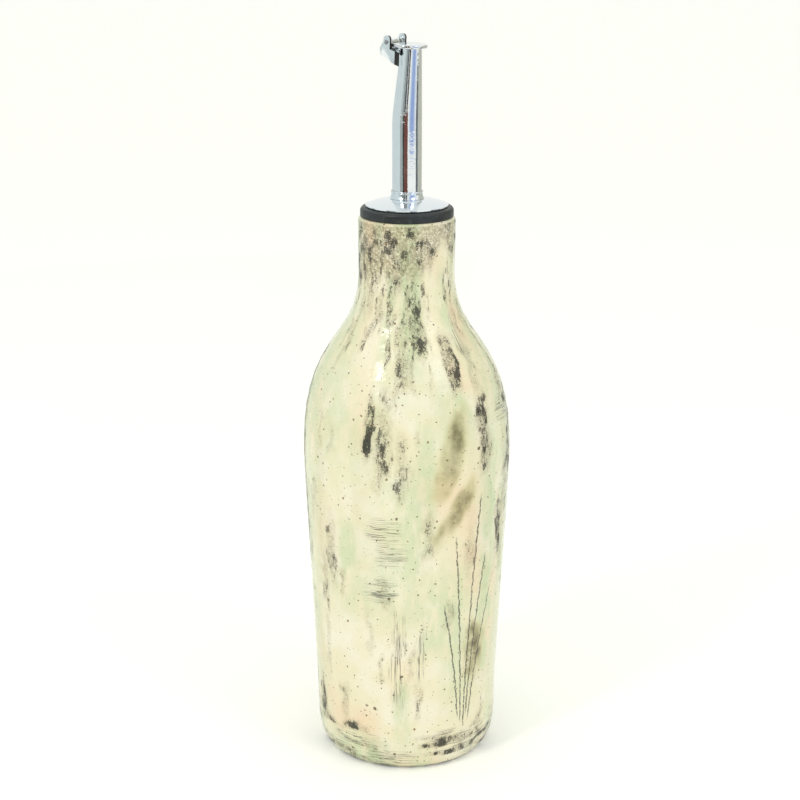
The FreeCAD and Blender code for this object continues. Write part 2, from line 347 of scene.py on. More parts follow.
def wash_group():
    """Cream glaze with pale green and peach washes and cloudy depth; the green also carries a painted edge
    reflection.
    """
    tree, start, end = new_group(
        "Glaze Wash", [("Point", VECTOR), ("Green", FLOAT), ("Peach", FLOAT)], [("Color", COLOR)])
    point = start.outputs["Point"]
    cloud = noise(tree, point, 70.0, 4.0, 0.6)
    brushed = noise(tree, stretched(tree, point, 1.0, 1.0, 0.4), 200.0, 4.0, 0.6)
    cream = mix_color(tree, ramp(tree, cloud, 0.35, 0.7), (0.875, 0.812, 0.570), (0.925, 0.880, 0.712))
    green = times(tree, start.outputs["Green"], ramp(tree, brushed, 0.25, 0.62), clamp=True)
    peach = times(tree, start.outputs["Peach"], ramp(tree, cloud, 0.3, 0.62), clamp=True)
    color = mix_color(tree, peach, cream, (0.875, 0.640, 0.385))
    color = mix_color(tree, green, color, (0.63, 0.715, 0.45))
    tree.links.new(color, end.inputs["Color"])
    return tree


def oxide_group():
    """Dark dry-brushed oxide: coverage broken up by grain and brush streaks."""
    tree, start, end = new_group(
        "Oxide Brush", [("Point", VECTOR), ("Coverage", FLOAT)], [("Mask", FLOAT), ("Color", COLOR)])
    point = start.outputs["Point"]
    grain = noise(tree, point, 2100.0, 3.0, 0.7)
    streak = noise(tree, stretched(tree, point, 1.0, 1.0, 0.2), 1200.0, 3.0, 0.65)
    blot = noise(tree, point, 330.0, 3.0, 0.6)
    broken = math_node(tree, "MULTIPLY_ADD", streak, 0.36, times(tree, grain, 0.42))
    broken = math_node(tree, "MULTIPLY_ADD", blot, 0.22, broken)
    cover = start.outputs["Coverage"]
    level = math_node(tree, "MULTIPLY_ADD", math_node(tree, "SUBTRACT", broken, 0.5), 2.9, cover)
    mask = ramp(tree, level, 0.45, 0.65)
    mask = times(tree, mask, ramp(tree, cover, 0.04, 0.22))
    thick = math_node(tree, "MULTIPLY_ADD", blot, 0.3, cover)
    mask = times(tree, mask, ramp(tree, thick, 0.25, 0.95, 0.55, 1.0))
    green = ramp(tree, noise(tree, point, 60.0, 2.0, 0.5), 0.42, 0.62)
    color = mix_color(tree, ramp(tree, blot, 0.35, 0.65), (0.013, 0.013, 0.010), (0.066, 0.058, 0.040))
    color = mix_color(tree, times(tree, green, 0.6), color, (0.040, 0.052, 0.036))
    tree.links.new(mask, end.inputs["Mask"])
    tree.links.new(color, end.inputs["Color"])
    return tree


def speck_group():
    """Scattered iron specks of a few sizes."""
    tree, start, end = new_group("Iron Specks", [("Point", VECTOR), ("Scale", FLOAT), ("Amount", FLOAT)],
                                 [("Mask", FLOAT)])
    cells = tree.nodes.new("ShaderNodeTexVoronoi")
    shift = tree.nodes.new("ShaderNodeVectorMath")
    shift.operation = "MULTIPLY_ADD"
    uneven = tree.nodes.new("ShaderNodeTexNoise")
    uneven.inputs["Scale"].default_value = 1600.0
    tree.links.new(start.outputs["Point"], uneven.inputs["Vector"])
    tree.links.new(uneven.outputs["Color"], shift.inputs[0])
    shift.inputs[1].default_value = (0.0007, 0.0007, 0.0007)
    tree.links.new(start.outputs["Point"], shift.inputs[2])
    link_value(tree, cells.inputs["Vector"], shift.outputs[0])
    link_value(tree, cells.inputs["Scale"], start.outputs["Scale"])
    chance = tree.nodes.new("ShaderNodeSeparateColor")
    tree.links.new(cells.outputs["Color"], chance.inputs[0])
    present = math_node(tree, "LESS_THAN", chance.outputs[0], start.outputs["Amount"])
    odds = times(tree, chance.outputs[1], chance.outputs[1])
    size = math_node(tree, "MULTIPLY_ADD", odds, 0.22, 0.06)
    dot = ramp(tree, cells.outputs["Distance"], times(tree, size, 0.55), size, 1.0, 0.0)
    tree.links.new(times(tree, present, dot), end.inputs["Mask"])
    return tree


def scratch_group():
    """Bundles of fine incised lines that follow the stretched coordinates."""
    tree, start, end = new_group("Incised Lines", [("Along", VECTOR), ("Coverage", FLOAT)], [("Mask", FLOAT)])
    fine = noise(tree, start.outputs["Along"], 1.0, 2.0, 0.5)
    away = math_node(tree, "ABSOLUTE", math_node(tree, "SUBTRACT", fine, 0.5))
    line = ramp(tree, away, 0.0, 0.035, 1.0, 0.0)
    mask = times(tree, line, start.outputs["Coverage"], clamp=True)
    tree.links.new(mask, end.inputs["Mask"])
    return tree


def reed_group():
    """One incised stalk that rises and bends on the unrolled wall."""
    tree, start, end = new_group(
        "Incised Stalk", [("Wall", VECTOR), ("Foot", FLOAT), ("Lean", FLOAT), ("Curl", FLOAT), ("Low", FLOAT),
                          ("High", FLOAT)], [("Mask", FLOAT)])
    parts = tree.nodes.new("ShaderNodeSeparateXYZ")
    tree.links.new(start.outputs["Wall"], parts.inputs[0])
    rise = math_node(tree, "SUBTRACT", parts.outputs["Y"], start.outputs["Low"])
    bend = times(tree, times(tree, rise, rise), start.outputs["Curl"])
    path = math_node(tree, "MULTIPLY_ADD", rise, start.outputs["Lean"], start.outputs["Foot"])
    path = math_node(tree, "ADD", path, bend)
    shake = noise(tree, start.outputs["Wall"], 90.0, 2.0, 0.5)
    path = math_node(tree, "MULTIPLY_ADD", math_node(tree, "SUBTRACT", shake, 0.5), 0.006, path)
    away = math_node(tree, "ABSOLUTE", math_node(tree, "SUBTRACT", parts.outputs["X"], path))
    line = ramp(tree, away, 0.0007, 0.0019, 1.0, 0.0)
    low, high = start.outputs["Low"], start.outputs["High"]
    full, fading = math_node(tree, "ADD", low, 0.02), math_node(tree, "SUBTRACT", high, 0.02)
    line = times(tree, line, ramp(tree, parts.outputs["Y"], low, full))
    line = times(tree, line, ramp(tree, parts.outputs["Y"], fading, high, 1.0, 0.0))
    worn = ramp(tree, noise(tree, start.outputs["Wall"], 240.0, 3.0, 0.6), 0.30, 0.50)
    tree.links.new(times(tree, line, worn), end.inputs["Mask"])
    return tree


def reed_lines(tree, wall):
    """Tufts of incised stalks spread round the wall."""
    group = reed_group()
    total = None
    for foot, lean, curl, low, high in ((0.600, -0.03, -0.10, 0.07, 0.40), (0.606, 0.02, 0.08, 0.06, 0.46),
                                        (0.611, 0.05, 0.25, 0.08, 0.36), (0.616, 0.10, 0.45, 0.07, 0.30),
                                        (0.594, -0.08, -0.40, 0.08, 0.29), (0.20, 0.02, 0.15, 0.08, 0.42),
                                        (0.206, 0.06, 0.30, 0.07, 0.36), (0.194, -0.05, -0.25, 0.07, 0.38),
                                        (0.86, 0.03, -0.20, 0.09, 0.44), (0.866, 0.08, 0.30, 0.08, 0.34)):
        stalk = use_group(tree, group, Wall=wall, Foot=foot, Lean=lean, Curl=curl, Low=low, High=high)
        mask = stalk.outputs["Mask"]
        total = mask if total is None else larger(tree, total, mask)
    return total


def metal_group():
    """Handling marks of polished metal: soft smears and hairline scratches."""
    tree, start, end = new_group("Metal Wear", [("Point", VECTOR), ("Polish", FLOAT)],
                                 [("Roughness", FLOAT), ("Tint", COLOR), ("Height", FLOAT)])
    point = start.outputs["Point"]
    smear = noise(tree, point, 160.0, 3.0, 0.6)
    hair = noise(tree, stretched(tree, point, 1.0, 1.0, 0.04), 5200.0, 2.0, 0.5)
    rough = math_node(tree, "MULTIPLY_ADD", ramp(tree, smear, 0.4, 0.75), 0.07, start.outputs["Polish"])
    rough = math_node(tree, "MULTIPLY_ADD", ramp(tree, hair, 0.6, 0.75), 0.05, rough)
    tint = mix_color(tree, smear, (0.86, 0.885, 0.91), (0.94, 0.95, 0.955))
    tree.links.new(rough, end.inputs["Roughness"])
    tree.links.new(tint, end.inputs["Tint"])
    tree.links.new(hair, end.inputs["Height"])
    return tree


def rubber_group():
    """Moulded rubber with dust and a faint sheen."""
    tree, start, end = new_group("Rubber Skin", [("Point", VECTOR)],
                                 [("Color", COLOR), ("Roughness", FLOAT), ("Height", FLOAT)])
    point = start.outputs["Point"]
    dust = noise(tree, point, 420.0, 4.0, 0.65)
    pores = noise(tree, point, 3200.0, 2.0, 0.5)
    color = mix_color(tree, ramp(tree, dust, 0.5, 0.8), (0.016, 0.020, 0.021), (0.045, 0.052, 0.054))
    tree.links.new(color, end.inputs["Color"])
    tree.links.new(ramp(tree, dust, 0.3, 0.8, 0.36, 0.58), end.inputs["Roughness"])
    tree.links.new(pores, end.inputs["Height"])
    return tree


# Materials


def veil_mask(tree, point):
    """Thin grainy veil of oxide round the marks and the neck."""
    grain = ramp(tree, noise(tree, point, 900.0, 5.0, 0.7), 0.28, 0.62)
    return times(tree, times(tree, attribute(tree, "veil"), grain), 0.9)


def smudge_color(tree, point, color):
    """Olive smudges, pale at the edge and dark in the middle."""
    smudge = attribute(tree, "smudge")
    cloudy = ramp(tree, noise(tree, point, 260.0, 5.0, 0.6), 0.22, 0.66, 0.25, 0.95)
    color = mix_color(tree, ramp(tree, smudge, 0.0, 0.7, 0.0, 0.6), color, (0.60, 0.54, 0.24))
    dark = times(tree, ramp(tree, smudge, 0.25, 1.0), cloudy)
    return mix_color(tree, dark, color, (0.120, 0.098, 0.040))


def drawn_lines(tree):
    """Incised stalks, scratches up the wall and rings round it."""
    uv = tree.nodes.new("ShaderNodeUVMap")
    uv.uv_map = "wrap"
    wall = uv.outputs[0]
    total = reed_lines(tree, wall)
    cuts = scratch_group()
    for layer, across, along in (("scuff", 11.0, 330.0), ("scratch", 420.0, 9.0)):
        lines = use_group(tree, cuts, Along=stretched(tree, wall, across, along, 0.0),
                          Coverage=attribute(tree, layer))
        total = larger(tree, total, lines.outputs["Mask"])
    return total


def glaze_material():
    """Stoneware glaze with washes, oxide, specks and incised lines."""
    material, tree, shader = new_material("Stoneware Glaze")
    point = object_point(tree)
    wash = use_group(tree, wash_group(), Point=point, Green=attribute(tree, "green"),
                     Peach=attribute(tree, "peach"))
    oxide = use_group(tree, oxide_group(), Point=point, Coverage=attribute(tree, "oxide"))
    stain = oxide.outputs["Mask"]
    color = mix_color(tree, veil_mask(tree, point), wash.outputs["Color"], (0.270, 0.212, 0.120))
    color = smudge_color(tree, point, color)
    specks = speck_group()
    rust = use_group(tree, specks, Point=point, Scale=430.0, Amount=0.75)
    rusty = times(tree, rust.outputs["Mask"], ramp(tree, noise(tree, point, 48.0, 2.0, 0.5), 0.47, 0.57))
    color = mix_color(tree, times(tree, rusty, 0.85), color, (0.22, 0.095, 0.030))
    for scale, amount, strength, tone in ((1150.0, 0.42, 0.72, (0.16, 0.125, 0.075)),
                                          (600.0, 0.5, 0.9, (0.075, 0.045, 0.022)),
                                          (270.0, 0.13, 0.85, (0.11, 0.06, 0.028))):
        speck = use_group(tree, specks, Point=point, Scale=scale, Amount=amount)
        color = mix_color(tree, times(tree, speck.outputs["Mask"], strength), color, tone)
    color = mix_color(tree, times(tree, stain, 0.95), color, oxide.outputs["Color"])
    drawn = drawn_lines(tree)
    color = mix_color(tree, times(tree, drawn, 0.85), color, (0.055, 0.055, 0.048))
    tree.links.new(color, shader.inputs["Base Color"])
    tree.links.new(ramp(tree, stain, 0.0, 1.0, 0.17, 0.42), shader.inputs["Roughness"])
    tree.links.new(ramp(tree, stain, 0.0, 1.0, 0.2, 0.0), shader.inputs["Coat Weight"])
    shader.inputs["Specular IOR Level"].default_value = 0.32
    shader.inputs["Coat Roughness"].default_value = 0.08
    peel = noise(tree, point, 520.0, 2.0, 0.5)
    cut = math_node(tree, "MULTIPLY_ADD", stain, 0.5, drawn)
    skin = math_node(tree, "SUBTRACT", peel, times(tree, cut, 0.5))
    add_bump(tree, shader, skin, 0.5, 0.0004)
    return material


def chrome_material(name, group, polish, tint, painted_end_shade=False, ripple=0.0):
    """Polished chrome plate; the end-shade switch darkens the faces that point along +X as painted shade and
    makes them rougher, ripple makes the sheet uneven.
    """
    material, tree, shader = new_material(name)
    point = object_point(tree)
    wear = use_group(tree, group, Point=point, Polish=polish)
    color = mix_color(tree, 1.0, wear.outputs["Tint"], tint, "MULTIPLY")
    rough = wear.outputs["Roughness"]
    if painted_end_shade:
        # Painted shade: faces that point along +X, the counterweight's ends towards the spout, are darkened
        # and made rougher.
        coords = tree.nodes.new("ShaderNodeTexCoord")
        parts = tree.nodes.new("ShaderNodeSeparateXYZ")
        tree.links.new(coords.outputs["Normal"], parts.inputs[0])
        end = ramp(tree, parts.outputs["X"], 0.30, 0.50)
        color = mix_color(tree, end, color, (0.055, 0.058, 0.052))
        rough = math_node(tree, "MULTIPLY_ADD", end, 0.25, rough)
    tree.links.new(color, shader.inputs["Base Color"])
    tree.links.new(rough, shader.inputs["Roughness"])
    shader.inputs["Metallic"].default_value = 1.0
    dents = noise(tree, point, 260.0, 3.0, 0.6)
    uneven = math_node(tree, "MULTIPLY_ADD", dents, ripple, wear.outputs["Height"])
    add_bump(tree, shader, uneven, 0.03, 0.00005)
    return material


def rubber_material():
    """Black rubber of the bung."""
    material, tree, shader = new_material("Black Rubber")
    skin = use_group(tree, rubber_group(), Point=object_point(tree))
    tree.links.new(skin.outputs["Color"], shader.inputs["Base Color"])
    tree.links.new(skin.outputs["Roughness"], shader.inputs["Roughness"])
    add_bump(tree, shader, skin.outputs["Height"], 0.12, 0.0001)
    return material


def plastic_material():
    """Milky plastic of the air tube."""
    material, tree, shader = new_material("Milky Plastic")
    cloud = noise(tree, object_point(tree), 300.0, 3.0, 0.5)
    color = mix_color(tree, cloud, (0.76, 0.76, 0.70), (0.86, 0.86, 0.82))
    tree.links.new(color, shader.inputs["Base Color"])
    shader.inputs["Roughness"].default_value = 0.38
    return material


def made(name, maker, *values):
    """The material of that name, made once."""
    return bpy.data.materials.get(name) or maker(*values)


def chrome(name, polish, tint=(1.0, 1.0, 1.0), painted_end_shade=False, ripple=0.0):
    """Chrome of that name, sharing one wear group."""
    found = bpy.data.materials.get(name)
    if found:
        return found
    group = bpy.data.node_groups.get("Metal Wear") or metal_group()
    return chrome_material(name, group, polish, tint, painted_end_shade, ripple)


# Bottle


def bottle_profile(s):
    """Closed outline of the bottle: under the base, up the outside, over the rim and down the inside."""
    rise = s.neck_height - s.belly_height
    lower = s.belly_height - s.heel_height
    heel, belly = (s.heel_radius, s.heel_height), (s.belly_radius, s.belly_height)
    neck = (s.neck_radius, s.neck_height)
    parts = [straight((0.0004, s.recess), (s.foot_inner - s.recess, s.recess), 10)]
    parts.append(straight((s.foot_inner - s.recess, s.recess), (s.foot_inner, 0.0), 4))
    parts.append(straight((s.foot_inner, 0.0), (s.foot_radius, 0.0), 4))
    parts.append(corner((s.foot_radius, 0.0), (s.heel_radius - s.lean * s.heel_height, 0.0), heel, 18))
    parts.append(bezier(heel, (heel[0] + s.lean * lower * 0.5, heel[1] + lower * 0.5),
                        (belly[0], belly[1] - lower * 0.1), belly, 110))
    parts.append(bezier(belly, (belly[0], belly[1] + s.fullness * rise),
                        (neck[0], neck[1] - s.sweep * rise), neck, 80))
    side, edge = (s.rim_radius, s.height - s.rim_round), (s.rim_radius - s.rim_round, s.height)
    parts.append(straight(neck, side, 20))
    parts.append(corner(side, (s.rim_radius, s.height), edge, 8))
    outer = sum(len(p) for p in parts)
    lip, bore = (s.bore_radius + 0.0012, s.height), (s.bore_radius, s.height - 0.0012)
    low_bore = (s.bore_radius, s.neck_height - s.wall)
    inner_belly = (s.belly_radius - s.wall, s.belly_height)
    inner_heel = (s.heel_radius - s.wall, s.heel_height + s.floor)
    inner_rise = low_bore[1] - s.belly_height
    inner_lower = s.belly_height - s.heel_height - s.floor
    floor_edge = (s.foot_radius - s.wall, s.floor)
    parts.append(straight(edge, lip, 6))
    parts.append(corner(lip, (s.bore_radius, s.height), bore, 6))
    parts.append(straight(bore, low_bore, 8))
    parts.append(bezier(low_bore, (low_bore[0], low_bore[1] - s.sweep * inner_rise),
                        (inner_belly[0], inner_belly[1] + s.fullness * inner_rise), inner_belly, 24))
    parts.append(bezier(inner_belly, (inner_belly[0], inner_belly[1] - lower * 0.1),
                        (inner_heel[0] + s.lean * inner_lower * 0.5, inner_heel[1] + inner_lower * 0.5),
                        inner_heel, 16))
    parts.append(corner(inner_heel, (inner_heel[0] - s.lean * s.heel_height, s.floor), floor_edge, 8))
    parts.append(straight(floor_edge, (0.0004, s.floor), 6))
    return np.concatenate(parts), outer


def angle_gap(angle, centre):
    """Signed difference between angles, in radians."""
    return (angle - centre + math.pi) % (2 * math.pi) - math.pi


def patch(angle, height, radius, centre, level, width, tall, edge=0.35):
    """Soft upright patch on the wall, 1 in the middle and 0 outside."""
    across = np.abs(angle_gap(angle, centre)) * radius / width
    along = np.abs(height - level) / tall
    away = np.maximum(across ** 2.2 + along ** 3.0, 1e-9)
    return np.clip((1.0 - away) / edge, 0.0, 1.0)


def step(values, low, high):
    """Smooth step from 0 to 1 between low and high."""
    t = np.clip((values - low) / (high - low), 0.0, 1.0)
    return t * t * (3 - 2 * t)


class WallPaint:
    """Layers of wash, oxide and line work on the points of the wall, with a painted edge reflection and a
    painted contact shadow among them.
    """

    names = ("green", "peach", "oxide", "veil", "smudge", "scratch", "scuff")

    def __init__(self, s, angle, height, radius, front):
        self.s, self.angle, self.height, self.radius, self.front = s, angle, height, radius, front
        self.rng = random.Random(s.seed)
        self.layers = {name: np.zeros_like(angle) for name in self.names}
        self.ragged = angle + (self.field(60, 40) - 0.5) * 0.0034 / radius
        self.ragged = self.ragged + (self.field(130, 80) - 0.5) * 0.0022 / radius
        self.washes()
        self.uneven = height + (self.field(70, 30) - 0.5) * 0.006
        self.mottle = self.field(90, 60)
        self.neck_band()
        self.brush_marks()
        self.foot_marks()
        self.scuffs()
        self.smudges()
        self.scratches()
        self.wear()

    def field(self, across, along, height=None):
        """Smooth random values from 0 to 1 over the wall, seamless round it."""
        height = self.height if height is None else height
        table = np.array([[self.rng.random() for _ in range(across)] for _ in range(along + 2)])
        u = (self.angle / (2 * math.pi)) % 1.0 * across
        v = np.clip(height / FIELD_HEIGHT, 0.0, 0.9999) * along
        i, j = np.floor(u).astype(int) % across, np.floor(v).astype(int)
        fu, fv = u - np.floor(u), v - np.floor(v)
        fu, fv = fu * fu * (3 - 2 * fu), fv * fv * (3 - 2 * fv)
        right = (i + 1) % across
        low = table[j, i] * (1 - fu) + table[j, right] * fu
        high = table[j + 1, i] * (1 - fu) + table[j + 1, right] * fu
        return low * (1 - fv) + high * fv

    def anywhere(self):
        """Random turn round the wall."""
        return self.rng.uniform(-math.pi, math.pi)

    def lay(self, name, values):
        """Keeps the stronger of a layer and the new values."""
        self.layers[name] = np.maximum(self.layers[name], values)

    def spot(self, centre, level, wide, tall, edge):
        """Patch with a ragged outline."""
        return patch(self.ragged, self.uneven, self.radius, centre, level, wide, tall, edge)

    def brush(self, centre, level, wide, tall, strength):
        """One dry-brushed mark with its thin veil."""
        mark = self.spot(centre, level, wide, tall, 0.42) * strength
        self.lay("oxide", mark * (0.34 + 0.62 * self.mottle))
        veil = self.spot(centre, level, wide * 1.25, tall * 1.15, 1.0) * strength
        self.lay("veil", 0.75 * veil)

    def washes(self):
        """Green and peach washes, a painted edge reflection of green towards the sides seen from the front,
        and green drips.
        """
        self.lay("green", step(self.field(13, 6), 0.47, 0.88))
        self.lay("green", 0.8 * step(self.field(23, 7), 0.62, 0.92))
        # Painted reflection: green grows towards the left and right edges of the bottle as seen from the
        # front.
        side = np.abs(np.sin(angle_gap(self.angle, self.front)))
        self.lay("green", 0.8 * step(side, 0.74, 1.0))
        for _ in range(5):
            centre, top = self.anywhere(), self.rng.uniform(0.10, 0.19)
            drip = step(0.0045 - np.abs(angle_gap(self.ragged, centre)) * self.radius, -0.004, 0.004)
            drip = drip * step(self.height, 0.02, 0.05) * step(top - self.height, 0.0, 0.04)
            self.lay("green", drip)
        self.lay("peach", 0.62 * step(self.field(17, 11), 0.50, 0.92))

    def neck_band(self):
        """Band of oxide that runs down from the rim, with streaks below it."""
        any_height = np.zeros_like(self.height)
        reach = 0.007 + 0.027 * self.field(24, 1, any_height) ** 1.6
        reach = reach + 0.006 * self.field(70, 1, any_height)
        cover = step(reach - (self.s.height - self.height), -0.003, 0.006)
        self.lay("oxide", cover * (0.10 + 0.66 * self.field(40, 60)))
        self.lay("veil", 0.8 * cover)
        draw = self.rng.uniform
        for _ in range(44):
            self.brush(self.anywhere(), draw(0.176, 0.214), draw(0.0006, 0.0017), draw(0.005, 0.015),
                       draw(0.45, 0.8))

    def brush_marks(self):
        """Dry-brushed marks all over the wall, and a few heavy ones."""
        draw = self.rng.uniform
        for _ in range(self.s.marks):
            centre, level = self.front + self.anywhere(), draw(0.012, 0.205)
            heavy = self.rng.random() ** 1.7
            self.brush(centre, level, 0.0011 + 0.0027 * heavy, draw(0.0035, 0.009) + 0.009 * heavy,
                       draw(0.35, 0.62) + 0.35 * heavy)
        for _ in range(9):
            self.brush(self.anywhere(), draw(0.10, 0.195), draw(0.0022, 0.005), draw(0.012, 0.032),
                       draw(0.75, 1.0))

    def foot_marks(self):
        """Short slanted marks round the foot."""
        draw = self.rng.uniform
        for _ in range(54):
            centre, level = self.anywhere(), 0.0012 + 0.020 * self.rng.random() ** 1.4
            tilted = self.height + draw(-0.14, 0.14) * angle_gap(self.angle, centre) * self.radius
            wide, tall, strength = draw(0.004, 0.013), draw(0.0012, 0.0024), draw(0.55, 1.0)
            mark = patch(self.ragged, tilted, self.radius, centre, level, wide, tall, 0.6) * strength
            self.lay("oxide", mark * (0.36 + 0.6 * self.mottle))
            self.lay("veil", 0.7 * mark)

    def scuffs(self):
        """Places with fine rings, most of them near the foot."""
        draw = self.rng.uniform
        for _ in range(26):
            place = (self.anywhere(), draw(0.003, 0.020), draw(0.006, 0.016), draw(0.0025, 0.006))
            self.lay("scuff", patch(self.ragged, self.height, self.radius, *place, 0.7))
        for _ in range(6):
            place = (self.anywhere(), draw(0.05, 0.17), 0.009, 0.006)
            self.lay("scuff", patch(self.ragged, self.height, self.radius, *place, 0.7))

    def smudges(self):
        """Soft leaning smudges."""
        draw = self.rng.uniform
        for _ in range(6):
            centre, level, slant = self.anywhere(), draw(0.025, 0.16), draw(-0.7, 0.7)
            leaning = self.angle + slant * (self.height - level) / self.radius
            spot = patch(leaning, self.uneven, self.radius, centre, level, draw(0.007, 0.012),
                         draw(0.014, 0.026), 1.0) ** 1.5 * (0.55 + 0.55 * self.mottle)
            self.lay("smudge", spot * draw(0.65, 1.0))

    def scratches(self):
        """Places with fine upright scratches."""
        draw = self.rng.uniform
        for _ in range(15):
            self.lay("scratch", self.spot(self.anywhere(), draw(0.03, 0.18), draw(0.002, 0.006),
                                          draw(0.010, 0.028), 0.8))

    def wear(self):
        """Oxide worn off the rim, and a painted contact shadow of oxide and veil round the lowest edge of the
        heel.
        """
        worn = 1.0 - 0.6 * step(0.0012 - (self.s.height - self.height), 0.0, 0.0006)
        for name in ("oxide", "veil"):
            self.layers[name] = self.layers[name] * worn
        # Painted contact shadow: oxide and veil darken the lowest 2 mm of the heel and the underside.
        heel = step(0.0022 - self.height, 0.0, 0.0012)
        self.lay("oxide", heel * (0.35 + 0.4 * self.mottle))
        self.lay("veil", heel * 0.8)

    def store(self, mesh):
        """Writes the layers to the mesh."""
        for name, values in self.layers.items():
            layer = mesh.attributes.new(name, "FLOAT", "POINT")
            layer.data.foreach_set("value", np.clip(values, 0, 1).astype(np.float32))


def build_bottle(s, front):
    """Thrown bottle with an uneven wall, wrap coordinates and painted layers."""
    profile, outer = bottle_profile(s)
    count = s.segments
    angles = front + math.pi + np.linspace(0, 2 * math.pi, count, endpoint=False)
    rows = len(profile)
    radius = np.repeat(profile[:, 0], count)
    height = np.repeat(profile[:, 1], count)
    angle = np.tile(angles, rows)
    outside = np.repeat((np.arange(rows) < outer).astype(float), count)
    lift = np.clip((height - 0.012) / 0.02, 0, 1) * outside
    slow = 0.5 + 0.25 * np.sin(2 * angle + 14 * height + 0.7) + 0.25 * np.sin(3 * angle - 31 * height)
    ring = 0.5 + 0.5 * np.sin(height * 2 * math.pi / 0.0065 + angle + 0.8 * np.sin(2 * angle))
    inward = s.wobble * slow + s.rings * ring
    widest = np.clip((radius - s.neck_radius) / 0.004, 0.35, 1.0)
    shaped = radius - inward * lift * widest
    verts = np.stack([shaped * np.cos(angle), shaped * np.sin(angle), height], 1)
    obj = new_object("Bottle", verts, grid_faces(rows, count), made("Stoneware Glaze", glaze_material), 50.0)
    wrap = obj.data.uv_layers.new(name="wrap")
    loops = np.zeros(len(obj.data.loops), np.int32)
    obj.data.loops.foreach_get("vertex_index", loops)
    u = (loops % count) / count
    last = np.zeros(len(obj.data.polygons), bool)
    starts = np.zeros(len(obj.data.polygons), np.int32)
    obj.data.polygons.foreach_get("loop_start", starts)
    for offset in range(4):
        last |= (loops[starts + offset] % count) == count - 1
    for offset in range(4):
        at = starts + offset
        seam = last & ((loops[at] % count) == 0)
        u[at[seam]] = 1.0
    coordinates = np.stack([u, height[loops] / WRAP_HEIGHT], 1)
    wrap.data.foreach_set("uv", coordinates.astype(np.float32).ravel())
    WallPaint(s, angle, height, np.maximum(radius, 0.01), front).store(obj.data)
    return obj


class OILBOTTLE_OT_bottle(bpy.types.Operator):
    """Throws and glazes the stoneware bottle"""

    bl_idname = "oilbottle.bottle"
    bl_label = "Bottle"

    def execute(self, context):
        studio = context.scene.oil_studio
        obj = build_bottle(context.scene.oil_bottle, studio.azimuth - math.pi / 2)
        keep(obj, "bottle", "stoneware_glaze", "bottle_body")
        return {"FINISHED"}


# Pourer


def bung_profile(p, rim):
    """Outline of the bung: flange with a rounded edge, plug with fins, bore for the stem."""
    top, low, bore = rim + p.flange_height, rim - p.plug_length, p.spout_radius + 0.00008
    pitch = p.plug_length / (p.fins + 0.5)
    flange, upper, lower = p.flange_radius, 0.0015, 0.0003
    parts = [straight((bore, low), (bore, top), 6)]
    parts.append(straight((bore, top), (flange - upper, top), 6))
    parts.append(corner((flange - upper, top), (flange, top), (flange, top - upper), 8))
    parts.append(straight((flange, top - upper), (flange, rim + lower), 4))
    parts.append(corner((flange, rim + lower), (flange, rim), (flange - lower, rim), 3))
    parts.append(straight((flange - lower, rim), (p.plug_radius, rim), 4))
    side = [(p.plug_radius, rim)]
    for fin in range(p.fins):
        height = rim - pitch * (fin + 0.6)
        side += [(p.plug_radius, height), (p.fin_radius - 0.0001, height - 0.00025),
                 (p.fin_radius, height - 0.0005), (p.fin_radius - 0.0001, height - 0.0009),
                 (p.plug_radius, height - 0.0015)]
    side += [(p.plug_radius, low + 0.0015), (p.plug_radius - 0.0008, low)]
    parts.append(np.array(side))
    return np.concatenate(parts)


def disc_profile(p, rim):
    """Outline of the pressed disc with its rolled edge and flat land."""
    base = rim + p.flange_height
    top = base + p.disc_rise
    land, edge = (0.0073, top), (p.disc_radius, base + 0.0009)
    hole = p.spout_radius + 0.00003
    parts = [straight((hole, top - 0.0009), (hole, top), 3), straight((hole, top), land, 4)]
    parts.append(bezier(land, (0.0103, top - 0.0003), (0.0138, top - 0.0013), edge, 26))
    parts.append(bezier(edge, (p.disc_radius, base + 0.0006), (p.disc_radius, base + 0.0002),
                        (p.disc_radius - 0.0004, base), 6))
    parts.append(straight((p.disc_radius - 0.0004, base), (p.disc_radius - 0.0016, base), 3))
    parts.append(bezier((p.disc_radius - 0.0016, base), (0.0128, top - 0.0021), (0.0100, top - 0.0012),
                        (0.0073, top - 0.0009), 14))
    return np.concatenate(parts)


def collar_profile(p, rim):
    """Outline of the collar: flared foot, hollow waist, rolled lip."""
    low = rim + p.flange_height + p.disc_rise
    top = low + p.collar_height
    hole = p.spout_radius + 0.00003
    foot, waist = p.collar_radius, p.collar_radius - 0.00055
    lip = p.collar_radius - 0.00035
    parts = [straight((hole, low), (foot - 0.0001, low), 3)]
    parts.append(corner((foot - 0.0001, low), (foot, low), (foot, low + 0.0004), 4))
    parts.append(bezier((foot, low + 0.0004), (foot - 0.0002, low + 0.0008), (waist, low + 0.0013),
                        (waist, top - 0.0009), 10))
    parts.append(bezier((waist, top - 0.0009), (waist, top - 0.0006), (lip, top - 0.0007),
                        (lip, top - 0.0004), 5))
    parts.append(corner((lip, top - 0.0004), (lip, top), (lip - 0.0003, top), 5))
    parts.append(straight((lip - 0.0003, top), (hole, top), 2))
    return np.concatenate(parts)


